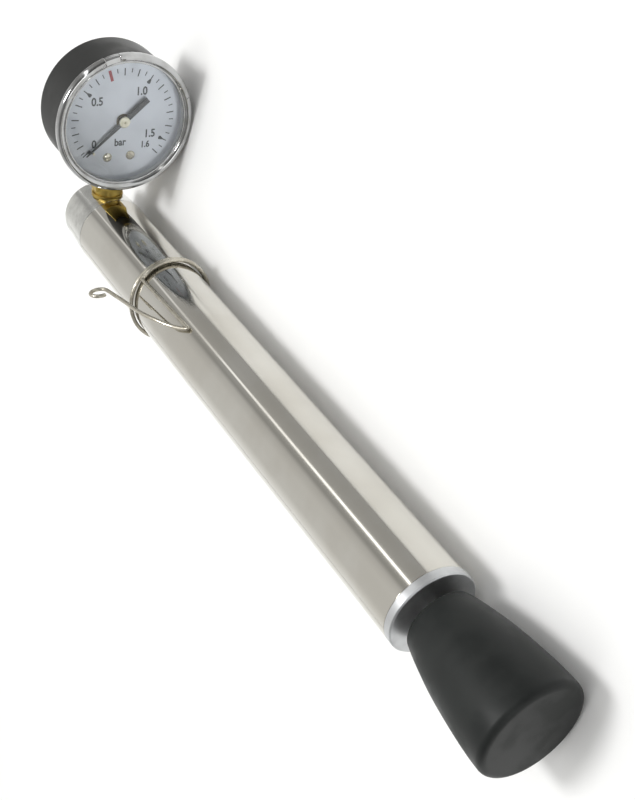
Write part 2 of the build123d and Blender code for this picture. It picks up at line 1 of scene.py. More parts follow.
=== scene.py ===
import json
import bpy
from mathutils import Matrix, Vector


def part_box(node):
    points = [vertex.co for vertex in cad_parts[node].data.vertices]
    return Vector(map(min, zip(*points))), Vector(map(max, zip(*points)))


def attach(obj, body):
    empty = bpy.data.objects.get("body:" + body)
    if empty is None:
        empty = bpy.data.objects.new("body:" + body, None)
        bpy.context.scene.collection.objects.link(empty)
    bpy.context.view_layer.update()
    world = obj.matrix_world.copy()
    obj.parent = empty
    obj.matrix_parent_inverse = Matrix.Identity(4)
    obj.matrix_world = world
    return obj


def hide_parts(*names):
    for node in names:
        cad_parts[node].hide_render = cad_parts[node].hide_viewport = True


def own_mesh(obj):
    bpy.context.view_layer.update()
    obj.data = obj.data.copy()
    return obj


bl_info = {
    "name": "Gauge Pump",
    "version": (1, 0, 0),
    "blender": (4, 5, 0),
    "location": "View3D > Sidebar > Pump",
    "description": "Builds the looks of a hand air pump with a pressure gauge around its packed model",
    "category": "Object",
}

from math import radians

import bpy
import bmesh
import numpy as np
from mathutils import Matrix, Vector

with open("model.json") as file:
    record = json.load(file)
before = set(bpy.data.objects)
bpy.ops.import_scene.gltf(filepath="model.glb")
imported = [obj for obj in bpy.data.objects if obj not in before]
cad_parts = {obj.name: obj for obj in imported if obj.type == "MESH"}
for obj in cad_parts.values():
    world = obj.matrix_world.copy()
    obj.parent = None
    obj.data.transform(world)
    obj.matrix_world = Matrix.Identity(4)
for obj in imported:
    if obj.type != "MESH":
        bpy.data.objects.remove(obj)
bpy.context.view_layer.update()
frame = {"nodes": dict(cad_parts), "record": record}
MM = 0.001

# ---- the bench: y along the barrel from the collar's face, z towards the gauge, in millimetres ----
BARREL_LO, BARREL_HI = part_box("barrel_tube")
BEZEL_LO, BEZEL_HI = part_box("bezel_ring")
AXIS_X = (BARREL_LO[0] + BARREL_HI[0]) / 2
AXIS_Z = (BARREL_LO[2] + BARREL_HI[2]) / 2
COLLAR_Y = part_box("end_collar")[0][1]
GAUGE_X = (BEZEL_LO[0] + BEZEL_HI[0]) / 2
GAUGE_TABLE_Z = (BEZEL_LO[2] + BEZEL_HI[2]) / 2
TO_GAUGE = Vector((GAUGE_X - AXIS_X, 0.0, GAUGE_TABLE_Z - AXIS_Z))
GAUGE_Z = TO_GAUGE.length / MM
UP = TO_GAUGE.normalized()
SIDE = Vector((UP.z, 0.0, -UP.x))

BARREL_R, BORE_R = 14.0, 12.8
COLLAR_RIM, BARREL_END = 2.9, 222.0
DIAL_Y = 217.7
POINTER_REST = 221.0
ZERO_CLOCK = -130.0
CLOCK_PER_BAR = 168.75
FULL_SCALE = 1.6
TAB_CLOCK = (-20.6, -7.4)
SPLIT_CLOCK = 70.9
BEZEL_SEAT_Y = 216.2
POINTER_BACK_Y, POINTER_FRONT_Y = 216.78, 216.52
DISC_FRONT_Y, DISC_BACK_Y = 216.5, 216.8
BOSS_FRONT_Y, BOSS_BACK_Y = 215.92, 216.55
INK_RISE, INK_ROOT = 0.03, 0.01
WIRE_STEP, WIRE_SIDES = 0.12, 20
ARC_SHOULDER = 0.3
RING_SHARE = 0.25


def place(x, y, z):
    """Bench points in millimetres, as arrays, put into the row's frame in metres."""
    x, y, z = np.broadcast_arrays(x, y, z)
    row_x = AXIS_X + (x * SIDE.x + z * UP.x) * MM
    row_y = COLLAR_Y + y * MM
    row_z = AXIS_Z + (x * SIDE.z + z * UP.z) * MM
    return np.stack([row_x, row_y, row_z], axis=-1)


def on_gauge(x, y, z):
    """Points measured from the gauge's centre line: x to the dial's right, z to its top."""
    return place(x, y, np.asarray(z) + GAUGE_Z)


# ---- surfaces ----
def eased(corners, radii, steps=6):
    """An outline whose corners are rounded by circular arcs.

    Each arc joins the points at radius / tan(half the corner's angle) along both runs, and a point
    stands a little outside each end of it, so that the flats beside it shade flat.
    """
    corners = np.asarray(corners, float)
    outline = []
    for before, corner, after, radius in zip(
        np.roll(corners, 1, 0), corners, np.roll(corners, -1, 0), radii
    ):
        if radius == 0:
            outline.append(corner[None])
            continue
        u = (before - corner) / np.linalg.norm(before - corner)
        v = (after - corner) / np.linalg.norm(after - corner)
        angle = np.arccos(np.clip(u @ v, -1, 1))
        reach = radius / np.tan(angle / 2)
        centre = corner + (u + v) / np.linalg.norm(u + v) * radius / np.sin(angle / 2)
        a, b = corner + u * reach - centre, corner + v * reach - centre
        turn = np.pi - angle
        k = np.linspace(0, 1, steps)[:, None]
        arc = centre + (np.sin((1 - k) * turn) * a + np.sin(k * turn) * b) / np.sin(turn)
        shoulder = radius * ARC_SHOULDER
        before_arc, after_arc = corner + u * (reach + shoulder), corner + v * (reach + shoulder)
        outline += [before_arc[None], arc, after_arc[None]]
    return np.concatenate(outline)


def turned(outline, segments=128, centre_z=0.0, centre_x=0.0):
    """A surface turned about a line along y: x = r cos a, z = r sin a, for (r, y) on the outline."""
    a = np.linspace(0, 2 * np.pi, segments, endpoint=False)[None, :]
    r, y = outline[:, :1], outline[:, 1:2]
    return place(centre_x + r * np.cos(a), y, centre_z + r * np.sin(a)), False, True


def ring_of(outline, **where):
    """A turned surface whose outline closes on itself, such as a tube's wall."""
    return turned(np.concatenate([outline, outline[:1]]), **where)


def bar_of(half_widths, along, low, high, edge):
    """A flat bar: its section is a box with chamfered edges, as wide as half_widths at each place."""
    across = np.array([-1, -1, -1, 1, 1, 1], float)
    inset = np.array([0, 0, 1, 1, 0, 0]) * edge
    level = np.array([high, low + edge, low, low, low + edge, high])
    w = half_widths[:, None] * across - np.sign(across) * inset
    return np.broadcast_to(along[:, None], w.shape), np.broadcast_to(level, w.shape), w


def smooth_step(t):
    """0 below t = 0, 1 above t = 1 and 3t^2 - 2t^3 between."""
    t = np.clip(t, 0, 1)
    return t * t * (3 - 2 * t)


def mesh_of(name, grids):
    """One mesh from grids of points: each is (points, closed along u, closed along v)."""
    verts, faces, uvs = [], [], []
    start = 0
    for points, wrap_u, wrap_v in grids:
        m, n = points.shape[:2]
        i, j = np.meshgrid(
            np.arange(m if wrap_u else m - 1), np.arange(n if wrap_v else n - 1), indexing="ij"
        )
        k, l = (i + 1) % m, (j + 1) % n
        quads = np.stack([i * n + j, k * n + j, k * n + l, i * n + l], -1).reshape(-1, 4) + start
        corners_u = np.stack([i, i + 1, i + 1, i], -1).reshape(-1, 4) / m
        corners_v = np.stack([j, j, j + 1, j + 1], -1).reshape(-1, 4) / n
        verts.append(points.reshape(-1, 3))
        faces.append(quads)
        uvs.append(np.stack([corners_u, corners_v], -1).reshape(-1, 2))
        start += m * n
    mesh = bpy.data.meshes.new(name)
    mesh.from_pydata(np.concatenate(verts).tolist(), [], np.concatenate(faces).tolist())
    mesh.uv_layers.new(name="UVMap").data.foreach_set("uv", np.concatenate(uvs).ravel())
    return mesh


def tidy_mesh(mesh, smooth=True):
    """Merges seams and poles, turns every face outwards and sets the shading."""
    work = bmesh.new()
    work.from_mesh(mesh)
    bmesh.ops.remove_doubles(work, verts=work.verts, dist=1e-7)
    bmesh.ops.dissolve_degenerate(work, edges=work.edges, dist=1e-8)
    bmesh.ops.recalc_face_normals(work, faces=work.faces)
    work.to_mesh(mesh)
    work.free()
    mesh.polygons.foreach_set("use_smooth", [smooth] * len(mesh.polygons))
    mesh.update()


def add_piece(name, mesh, slot, body, stands_for=(), material=None):
    """Puts a finished mesh in the scene with its finish and its body, and hides the CAD nodes it stands
    for.
    """
    piece = bpy.data.objects.new(name, mesh)
    bpy.context.scene.collection.objects.link(piece)
    mesh.materials.clear()
    mesh.materials.append(material or finish(slot))
    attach(piece, body)
    if stands_for:
        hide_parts(*stands_for)
    return piece


def add_surface(name, grids, slot, body, stands_for=(), smooth=True, material=None):
    """A piece made straight from grids of points."""
    mesh = mesh_of(name, grids)
    tidy_mesh(mesh, smooth)
    return add_piece(name, mesh, slot, body, stands_for, material)


# ---- shared effects, as shader node groups ----
def new_group(name, inputs, outputs):
    """An empty shader group with these float or vector inputs and float outputs."""
    group = bpy.data.node_groups.new(name, "ShaderNodeTree")
    for label, kind, default in inputs:
        socket = group.interface.new_socket(label, in_out="INPUT", socket_type=kind)
        if default is not None:
            socket.default_value = default
    for label in outputs:
        group.interface.new_socket(label, in_out="OUTPUT", socket_type="NodeSocketFloat")
    return group, group.nodes.new("NodeGroupInput"), group.nodes.new("NodeGroupOutput")


def sum_node(tree, operation, a, b):
    """A Math node; a and b are sockets or plain numbers."""
    node = tree.nodes.new("ShaderNodeMath")
    node.operation = operation
    for socket, value in zip(node.inputs, (a, b)):
        if isinstance(value, bpy.types.NodeSocket):
            tree.links.new(value, socket)
        elif value is not None:
            socket.default_value = value
    return node.outputs[0]


def noise_node(tree, vector, scale, detail=3.0, roughness=0.5):
    """A Noise Texture read at a vector socket."""
    node = tree.nodes.new("ShaderNodeTexNoise")
    node.inputs["Scale"].default_value = scale
    node.inputs["Detail"].default_value = detail
    node.inputs["Roughness"].default_value = roughness
    tree.links.new(vector, node.inputs["Vector"])
    return node.outputs["Fac"]


def ranged(tree, value, low, high, out_low=0.0, out_high=1.0):
    """A Map Range node, smoothed at its ends."""
    node = tree.nodes.new("ShaderNodeMapRange")
    node.interpolation_type = "SMOOTHSTEP"
    tree.links.new(value, node.inputs["Value"])
    limits = {"From Min": low, "From Max": high, "To Min": out_low, "To Max": out_high}
    for label, number in limits.items():
        node.inputs[label].default_value = number
    return node.outputs["Result"]


def surface_grain():
    """Grain and rubbed patches: a fine height, a slow mask for wear and sparse hair scratches."""
    group = bpy.data.node_groups.get("Surface Grain")
    if group:
        return group
    vector = ("Vector", "NodeSocketVector", None)
    stretch = ("Stretch", "NodeSocketVector", (1.0, 1.0, 1.0))
    group, given, made = new_group(
        "Surface Grain", (vector, stretch, ("Patches", "NodeSocketFloat", 60.0)),
        ("Height", "Rubbed", "Hairs"),
    )
    laid = group.nodes.new("ShaderNodeVectorMath")
    laid.operation = "MULTIPLY"
    group.links.new(given.outputs["Vector"], laid.inputs[0])
    group.links.new(given.outputs["Stretch"], laid.inputs[1])
    fine = noise_node(group, laid.outputs[0], 1.0, 4.0, 0.6)
    patch = group.nodes.new("ShaderNodeTexNoise")
    patch.inputs["Detail"].default_value = 4.0
    group.links.new(given.outputs["Vector"], patch.inputs["Vector"])
    group.links.new(given.outputs["Patches"], patch.inputs["Scale"])
    hair = noise_node(group, laid.outputs[0], 3.1, 1.0, 0.4)
    group.links.new(fine, made.inputs["Height"])
    group.links.new(ranged(group, patch.outputs["Fac"], 0.35, 0.68), made.inputs["Rubbed"])
    group.links.new(ranged(group, hair, 0.68, 0.76), made.inputs["Hairs"])
    return group


def tool_rings():
    """Turning marks: the distance from the y axis, shaken a little, drives a fine wave."""
    group = bpy.data.node_groups.get("Tool Rings")
    if group:
        return group
    group, given, made = new_group(
        "Tool Rings",
        (("Vector", "NodeSocketVector", None), ("Pitch", "NodeSocketFloat", 0.0003)), ("Height",),
    )
    parts = group.nodes.new("ShaderNodeSeparateXYZ")
    group.links.new(given.outputs["Vector"], parts.inputs[0])
    flat = sum_node(group, "ADD", sum_node(group, "POWER", parts.outputs[0], 2.0),
                    sum_node(group, "POWER", parts.outputs[2], 2.0))
    reach = sum_node(group, "ADD", sum_node(group, "SQRT", flat, None), parts.outputs[1])
    phase = sum_node(group, "DIVIDE", reach, given.outputs["Pitch"])
    wobble = noise_node(group, given.outputs["Vector"], 900.0)
    shaken = sum_node(group, "ADD", sum_node(group, "MULTIPLY", phase, 6.283),
                      sum_node(group, "MULTIPLY", wobble, 3.0))
    group.links.new(sum_node(group, "SINE", shaken, None), made.inputs["Height"])
    return group


# ---- finishes ----
# colour, second colour, metallic, specular level, smooth and rubbed roughness, grain stretch per
# metre, patches per metre, bump depth in metres, ring pitch in metres or 0
FINISHES = {
    "polished_steel": ((0.635, 0.62, 0.575), (0.575, 0.555, 0.505), 1.0, 0.5, 0.045, 0.13,
                       (2600, 9, 2600), 35, 0.0000012, 0),
    "bright_steel": ((0.66, 0.66, 0.65), (0.57, 0.57, 0.555), 1.0, 0.5, 0.14, 0.3,
                     (500, 2500, 500), 60, 0.000002, 0),
    "spring_steel": ((0.56, 0.53, 0.455), (0.42, 0.39, 0.325), 1.0, 0.5, 0.26, 0.44,
                     (700, 700, 700), 220, 0.0000012, 0),
    "satin_aluminium": ((0.70, 0.70, 0.67), (0.52, 0.52, 0.50), 1.0, 0.5, 0.12, 0.26,
                        (500, 700, 500), 110, 0.0000016, 0.0004),
    "collar_satin": ((0.62, 0.63, 0.64), (0.52, 0.53, 0.54), 1.0, 0.5, 0.34, 0.48,
                     (900, 900, 900), 110, 0.000002, 0),
    "brass": ((0.55, 0.405, 0.11), (0.37, 0.26, 0.07), 1.0, 0.5, 0.32, 0.48,
              (700, 700, 700), 160, 0.0000009, 0),
    # a dark brass for the movement's front plate: its darkness is painted shade, standing in for the
    # shade inside the dial's hole
    "shade_dark_brass": ((0.24, 0.21, 0.14), (0.14, 0.12, 0.08), 1.0, 0.5, 0.4, 0.6,
                   (900, 900, 900), 300, 0.000003, 0),
    "screw_brass": ((0.68, 0.65, 0.54), (0.50, 0.46, 0.36), 1.0, 0.5, 0.13, 0.26,
                    (900, 900, 900), 300, 0.000002, 0),
    "pale_brass": ((0.76, 0.73, 0.60), (0.60, 0.56, 0.42), 1.0, 0.5, 0.3, 0.5,
                   (1500, 1500, 1500), 300, 0.000004, 0),
    "black_grip": ((0.0105, 0.0122, 0.0118), (0.017, 0.019, 0.018), 0.0, 0.22, 0.4, 0.54,
                   (3200, 3200, 3200), 90, 0.000010, 0),
    "rubber": ((0.022, 0.022, 0.022), (0.034, 0.033, 0.032), 0.0, 0.4, 0.5, 0.7,
               (1500, 1500, 1500), 200, 0.000012, 0),
    "pale_rubber": ((0.42, 0.43, 0.43), (0.34, 0.35, 0.35), 0.0, 0.35, 0.45, 0.6,
                    (1500, 1500, 1500), 200, 0.000008, 0),
    "felt": ((0.36, 0.34, 0.30), (0.24, 0.22, 0.19), 0.0, 0.2, 0.9, 1.0,
             (2200, 2200, 2200), 400, 0.00006, 0),
    "black_enamel": ((0.015, 0.0155, 0.015), (0.023, 0.0235, 0.0225), 0.0, 0.27, 0.34, 0.5,
                     (1400, 1400, 1400), 70, 0.000010, 0),
    "chrome": ((0.51, 0.515, 0.52), (0.38, 0.38, 0.375), 1.0, 0.5, 0.07, 0.17,
               (900, 900, 900), 160, 0.0000022, 0),
    "dial_white": ((0.59, 0.615, 0.655), (0.565, 0.59, 0.63), 0.92, 0.3, 0.36, 0.43,
                   (1500, 1500, 1500), 120, 0.000003, 0),
    "pointer_black": ((0.050, 0.055, 0.056), (0.072, 0.077, 0.077), 0.0, 0.4, 0.42, 0.6,
                      (1500, 1500, 1500), 300, 0.000003, 0),
    "dial_ink": ((0.040, 0.046, 0.050), (0.060, 0.066, 0.070), 0.0, 0.3, 0.5, 0.6,
                 (2500, 2500, 2500), 300, 0.000001, 0),
    "dial_red": ((0.42, 0.09, 0.10), (0.36, 0.075, 0.085), 0.0, 0.3, 0.5, 0.6,
                 (2500, 2500, 2500), 300, 0.000001, 0),
}


def finish(name):
    """The material of one finish, built once."""
    known = bpy.data.materials.get("Pump " + name)
    if known:
        return known
    if name == "clear_window":
        return window_glass()
    colour, second, metallic, specular, smooth, rubbed, stretch, patches, depth, pitch = FINISHES[name]
    material = bpy.data.materials.new("Pump " + name)
    material.use_nodes = True
    tree = material.node_tree
    shader = tree.nodes["Principled BSDF"]
    shader.inputs["Metallic"].default_value = metallic
    shader.inputs["Specular IOR Level"].default_value = specular
    where = tree.nodes.new("ShaderNodeTexCoord")
    centred = tree.nodes.new("ShaderNodeMapping")
    centred.inputs["Location"].default_value = (-AXIS_X, 0.0, -AXIS_Z)
    tree.links.new(where.outputs["Object"], centred.inputs["Vector"])
    grain = tree.nodes.new("ShaderNodeGroup")
    grain.node_tree = surface_grain()
    tree.links.new(centred.outputs["Vector"], grain.inputs["Vector"])
    grain.inputs["Stretch"].default_value = stretch
    grain.inputs["Patches"].default_value = patches
    blend = tree.nodes.new("ShaderNodeMix")
    blend.data_type = "RGBA"
    blend.inputs["A"].default_value = (*colour, 1)
    blend.inputs["B"].default_value = (*second, 1)
    tree.links.new(grain.outputs["Rubbed"], blend.inputs["Factor"])
    tree.links.new(blend.outputs["Result"], shader.inputs["Base Color"])
    dulled = sum_node(tree, "MAXIMUM", grain.outputs["Rubbed"], grain.outputs["Hairs"])
    tree.links.new(ranged(tree, dulled, 0.0, 1.0, smooth, rubbed), shader.inputs["Roughness"])
    height = grain.outputs["Height"]
    if pitch:
        rings = tree.nodes.new("ShaderNodeGroup")
        rings.node_tree = tool_rings()
        rings.inputs["Pitch"].default_value = pitch
        tree.links.new(centred.outputs["Vector"], rings.inputs["Vector"])
        shallow = sum_node(tree, "MULTIPLY", rings.outputs["Height"], RING_SHARE)
        height = sum_node(tree, "ADD", height, shallow)
    bump = tree.nodes.new("ShaderNodeBump")
    bump.inputs["Strength"].default_value = 1.0
    bump.inputs["Distance"].default_value = depth
    tree.links.new(height, bump.inputs["Height"])
    tree.links.new(bump.outputs["Normal"], shader.inputs["Normal"])
    return material


def window_glass():
    """Clear glass that lets the light on the dial through."""
    material = bpy.data.materials.new("Pump clear_window")
    material.use_nodes = True
    tree = material.node_tree
    shader = tree.nodes["Principled BSDF"]
    shader.inputs["Base Color"].default_value = (0.97, 0.985, 1.0, 1)
    shader.inputs["Transmission Weight"].default_value = 1.0
    shader.inputs["IOR"].default_value = 1.47
    where = tree.nodes.new("ShaderNodeTexCoord")
    wiped = noise_node(tree, where.outputs["Object"], 140.0)
    tree.links.new(ranged(tree, wiped, 0.4, 0.75, 0.0, 0.05), shader.inputs["Roughness"])
    clear = tree.nodes.new("ShaderNodeBsdfTransparent")
    path = tree.nodes.new("ShaderNodeLightPath")
    either = tree.nodes.new("ShaderNodeMixShader")
    tree.links.new(path.outputs["Is Shadow Ray"], either.inputs["Fac"])
    tree.links.new(shader.outputs["BSDF"], either.inputs[1])
    tree.links.new(clear.outputs["BSDF"], either.inputs[2])
    tree.links.new(either.outputs["Shader"], tree.nodes["Material Output"].inputs["Surface"])
    return material


# ---- settings ----
class PumpBodySettings(bpy.types.PropertyGroup):
    rim_ease: bpy.props.FloatProperty(
        name="Rim easing", description="Rounding of the barrel's and the collar's rims, in millimetres",
        default=0.16, min=0.05, max=0.5,
    )
    grip_edge: bpy.props.FloatProperty(
        name="Grip edge", description="Rounding of the grip's end, in millimetres",
        default=2.1, min=0.5, max=4.0,
    )
    wire_diameter: bpy.props.FloatProperty(
        name="Wire diameter", description="Thickness of the clip's wire", default=0.0014, min=0.0008,
        max=0.002, subtype="DISTANCE", unit="LENGTH",
    )


class PumpGaugeSettings(bpy.types.PropertyGroup):
    digit_height: bpy.props.FloatProperty(
        name="Digit height", description="Height of the dial's large numbers, in millimetres",
        default=3.15, min=1.5, max=4.5,
    )
    tick_width: bpy.props.FloatProperty(
        name="Tick width", description="Width of the dial's ticks, in millimetres",
        default=0.42, min=0.1, max=0.8,
    )
    warning_at: bpy.props.FloatProperty(
        name="Red mark", description="Pressure that the red mark stands at, in bar",
        default=0.7, min=0.0, max=FULL_SCALE,
    )


class PumpStageSettings(bpy.types.PropertyGroup):
    floor_colour: bpy.props.FloatVectorProperty(
        name="Table", description="Colour of the table", default=(0.89, 0.89, 0.882), subtype="COLOR",
        min=0.0, max=1.0,
    )
    key_power: bpy.props.FloatProperty(
        name="Key light", description="Strength of the light overhead", default=4.9, min=0.0,
        subtype="POWER", unit="POWER",
    )
    ceiling_power: bpy.props.FloatProperty(
        name="Ceiling light", description="Strength of the wide light that softens the shadows",
        default=8.5, min=0.0, subtype="POWER", unit="POWER",
    )
    fill_power: bpy.props.FloatProperty(
        name="Fill light", description="Strength of the soft light that faces the dial", default=1.7,
        min=0.0, subtype="POWER", unit="POWER",
    )


# ---- barrel, collar, cap ----
class PUMP_OT_barrel(bpy.types.Operator):
    """Polished barrel tube with eased rims"""
    bl_idname = "pump.barrel"
    bl_label = "Barrel"

    def execute(self, context):
        ease = context.scene.pump_body.rim_ease
        wall = eased(
            [(BORE_R, COLLAR_RIM), (BARREL_R, COLLAR_RIM),
             (BARREL_R, BARREL_END), (BORE_R, BARREL_END)],
            [0.1, ease, ease, 0.1],
        )
        add_surface(
            "barrel_skin", [ring_of(wall, segments=256)], "polished_steel", "barrel", ["barrel_tube"],
        )
        return {"FINISHED"}


class PUMP_OT_collar(bpy.types.Operator):
    """End collar: a turned rim, and the spigot inside the barrel"""
    bl_idname = "pump.collar"
    bl_label = "End collar"

    def execute(self, context):
        ease = context.scene.pump_body.rim_ease
        outline = eased(
            [(4.5, 0), (BARREL_R - 0.4, 0), (BARREL_R, 0.4), (BARREL_R, COLLAR_RIM),
             (BORE_R, COLLAR_RIM), (BORE_R, 14), (6.5, 14), (6.5, 2), (4.5, 2)],
            [0.25, 0.2, 0.2, ease, 0, 0.3, 0.3, 0, 0],
        )
        add_surface(
            "collar_turned", [ring_of(outline, segments=192)], "satin_aluminium", "barrel",
            ["end_collar"], material=finish("collar_satin"),
        )
        return {"FINISHED"}


class PUMP_OT_grip(bpy.types.Operator):
    """Flared grip with an eased end and the rod's socket"""
    bl_idname = "pump.grip"
    bl_label = "Grip"

    def execute(self, context):
        edge = context.scene.pump_body.grip_edge
        end_y, full_r = -43.5, 16.3
        knots = np.array(
            [(10.7, -3.1), (13.2, -13.0), (14.9, -23.0), (full_r, end_y + edge + 1.2)]
        )
        slopes = np.array([(3.3, -10.0), (2.12, -9.95), (1.7, -13.6), (0.0, -17.2)])
        flare = hermite(knots, slopes, 14)
        mouth = eased([(4.1, -5.0), (4.1, -3.1), flare[0], flare[1]], [0, 0.4, 0.6, 0])[1:-1]
        foot = eased([flare[-1], (full_r, end_y), (0.0, end_y)], [0, edge, 0], steps=12)[1:-1]
        pole = np.array([(6.0, end_y), (0.0, end_y)])
        socket = np.array([(0.0, -5.0), (4.1, -5.0)])
        outline = np.concatenate([socket, mouth, flare[2:], foot, pole])
        add_surface(
            "grip_moulded", [turned(outline, segments=192)], "black_grip", "handle", ["handle_grip"],
        )
        return {"FINISHED"}


def hermite(knots, slopes, steps):
    """Points on the cubic between each pair of knots that has the given slopes at both."""
    t = np.linspace(0, 1, steps, endpoint=False)[None, :, None]
    a, b = knots[:-1, None], knots[1:, None]
    u, v = slopes[:-1, None], slopes[1:, None]
    curve = (
        (2 * t**3 - 3 * t**2 + 1) * a + (t**3 - 2 * t**2 + t) * u
        + (3 * t**2 - 2 * t**3) * b + (t**3 - t**2) * v
    )
    return np.concatenate([curve.reshape(-1, knots.shape[1]), knots[-1:]])


# ---- gauge ----
class PUMP_OT_bezel(bpy.types.Operator):
    """Rolled bezel with its pressed-in locking tab and the split of its strip

    Its section is a broad half-round, a fine bead beside the window and a short skirt. The tab
    flattens the crown of the half-round, and a notch in its inner side runs out from each end of it.
    """
    bl_idname = "pump.bezel"
    bl_label = "Bezel"

    def execute(self, context):
        turn = np.radians(np.linspace(-8, 158, 40))
        roll_r, roll_mid, roll_y = 1.45, 24.95, 214.95
        roll = np.stack([roll_mid + roll_r * np.cos(turn), roll_y - roll_r * np.sin(turn)], -1)
        skirt = np.array(
            [(25.7, BEZEL_SEAT_Y), (26.1, BEZEL_SEAT_Y), (26.35, 215.9), (26.4, 215.4)]
        )
        band = np.array([
            (23.54, 214.46), (23.46, 214.46), (23.38, 214.34), (23.24, 214.32), (22.98, 214.36),
            (22.9, 214.42), (22.9, 214.62), (25.7, 214.62),
        ])
        outline = np.concatenate([skirt, roll, band])
        clock = np.unique(np.concatenate([
            np.linspace(-180, 180, 361)[:-1], TAB_CLOCK[0] + np.linspace(-1.2, 1.2, 17),
            TAB_CLOCK[1] + np.linspace(-1.2, 1.2, 17), SPLIT_CLOCK + np.linspace(-1, 1, 21),
        ]))[None, :]
        tab = smooth_step((clock - TAB_CLOCK[0]) / 0.5) * smooth_step((TAB_CLOCK[1] - clock) / 0.5)
        split = smooth_step(1 - np.abs(clock - SPLIT_CLOCK) / 0.55)
        past_tab = np.maximum((TAB_CLOCK[0] - clock) / 7, (clock - TAB_CLOCK[1]) / 5)
        notch = np.where(past_tab > 0, smooth_step(past_tab / 0.06) * smooth_step(1 - past_tab), 0)
        r, y = outline[:, :1], outline[:, 1:2]
        outer = smooth_step((r - 24.4) / 0.5) * smooth_step((215.9 - y) / 0.5)
        inner = smooth_step((r - 23.7) / 0.3) * smooth_step((25.1 - r) / 0.5)
        inner = inner * smooth_step((214.5 - y) / 0.1)
        radius = r - (tab * 0.25 + split * 0.3) * outer
        flattened = tab * (np.maximum(y, 213.85) - y)
        depth = y + flattened + split * outer * 0.25 + notch * inner * 0.4
        depth = np.minimum(depth, np.maximum(y, 214.58))
        a = np.radians(90 - clock)
        grid = on_gauge(radius * np.cos(a), depth, radius * np.sin(a)), True, True
        add_surface("bezel_rolled", [grid], "chrome", "barrel", ["bezel_ring"])
        return {"FINISHED"}


def clock_of(pressure):
    """Degrees clockwise from the dial's top for pressures in bar; zero stands off the scale."""
    pressure = np.asarray(pressure, float)
    return np.where(pressure > 0.01, (pressure - FULL_SCALE / 2) * CLOCK_PER_BAR, ZERO_CLOCK)


def ink_strips(pressures, radii, widths):
    """Printed strips along the dial's radii, one for each pressure.

    Each is a thin five-sided box: its two edges stand off the radius by half the width at each
    distance from the centre, and its skirt goes down to the dial.
    """
    a = np.radians(90 - clock_of(pressures))[:, None, None]
    across = np.array([-1, -1, 1, 1]) / 2
    root, face = DIAL_Y + INK_ROOT, DIAL_Y - INK_RISE
    level = np.array([root, face, face, root])
    r = np.asarray(radii, float)[None, :, None]
    w = np.asarray(widths, float)[None, :, None] * across
    x = r * np.cos(a) - w * np.sin(a)
    z = r * np.sin(a) + w * np.cos(a)
    points = on_gauge(x, np.broadcast_to(level, x.shape), z)
    return [(strip, False, True) for strip in points]


class PUMP_OT_dial_marks(bpy.types.Operator):
    """Printed scale: short, long and numbered ticks and the red mark"""
    bl_idname = "pump.dial_marks"
    bl_label = "Dial marks"

    def execute(self, context):
        settings = context.scene.pump_gauge
        width = settings.tick_width
        steps = np.arange(0, 33)
        pressures = steps * 0.05
        numbered = (steps % 10 == 0)
        long_ones = (steps % 2 == 0) & ~numbered
        red = np.isclose(pressures, settings.warning_at)
        short_ones = ~(numbered | long_ones)
        grids = ink_strips(pressures[short_ones], [20.0, 18.35], [width * 0.8, width * 0.8])
        grids += ink_strips(pressures[long_ones & ~red], [20.0, 17.25], [width, width])
        grids += ink_strips(
            pressures[numbered], [20.0, 18.3, 17.9, 17.0, 16.6, 16.35],
            [width * 0.8, width, width * 1.8, width * 3.3, width * 3.1, width * 1.8],
        )
        add_surface(
            "dial_ticks", grids, "pointer_black", "barrel", smooth=False, material=finish("dial_ink"),
        )
        red_grids = ink_strips([settings.warning_at], [20.25, 16.1], [1.1, 1.1])
        add_surface(
            "dial_red_mark", red_grids, "pointer_black", "barrel", smooth=False,
            material=finish("dial_red"),
        )
        return {"FINISHED"}


class PUMP_OT_dial_numbers(bpy.types.Operator):
    """Printed numbers of the scale and its unit"""
    bl_idname = "pump.dial_numbers"
    bl_label = "Dial numbers"
    # a capital's height as a share of the type size, the width given to the type, and how far the
    # type stands off the dial's face
    height_of_size, narrow, type_gap = 0.73, 0.86, 0.01

    def execute(self, context):
        tall = context.scene.pump_gauge.digit_height
        words = [
            ("0", -11.15, -8.1, tall), ("0.5", -10.3, 8.2, tall), ("1.0", 7.1, 10.95, tall),
            ("1.5", 11.0, -5.8, tall), ("1.6", 9.3, -9.95, tall * 0.8),
            ("bar", -0.85, -8.2, tall * 0.92),
        ]
        for number, (text, x, z, height) in enumerate(words):
            curve = bpy.data.curves.new("lettering", "FONT")
            curve.body = text
            curve.size = height / self.height_of_size
            curve.extrude = 0.02
            curve.offset = 0.11
            curve.resolution_u = 6
            writing = bpy.data.objects.new("lettering", curve)
            context.scene.collection.objects.link(writing)
            context.view_layer.update()
            seen = writing.evaluated_get(context.evaluated_depsgraph_get())
            mesh = bpy.data.meshes.new_from_object(seen)
            bpy.data.objects.remove(writing)
            flat = np.empty(len(mesh.vertices) * 3)
            mesh.vertices.foreach_get("co", flat)
            flat = flat.reshape(-1, 3)
            lo, hi = flat.min(0), flat.max(0)
            centred = flat - (lo + hi) / 2
            across, up, out = centred.T
            points = on_gauge(x + across * self.narrow, DIAL_Y - self.type_gap - out, z + up)
            mesh.vertices.foreach_set("co", points.ravel())
            tidy_mesh(mesh, smooth=False)
            add_piece(
                f"dial_figure_{number}", mesh, "pointer_black", "barrel", material=finish("dial_ink"),
            )
        return {"FINISHED"}


def about_pointer(along, y, across):
    """Points measured along and across the pointer at rest."""
    a = radians(POINTER_REST)
    return on_gauge(along * np.cos(a) - across * np.sin(a), y, along * np.sin(a) + across * np.cos(a))


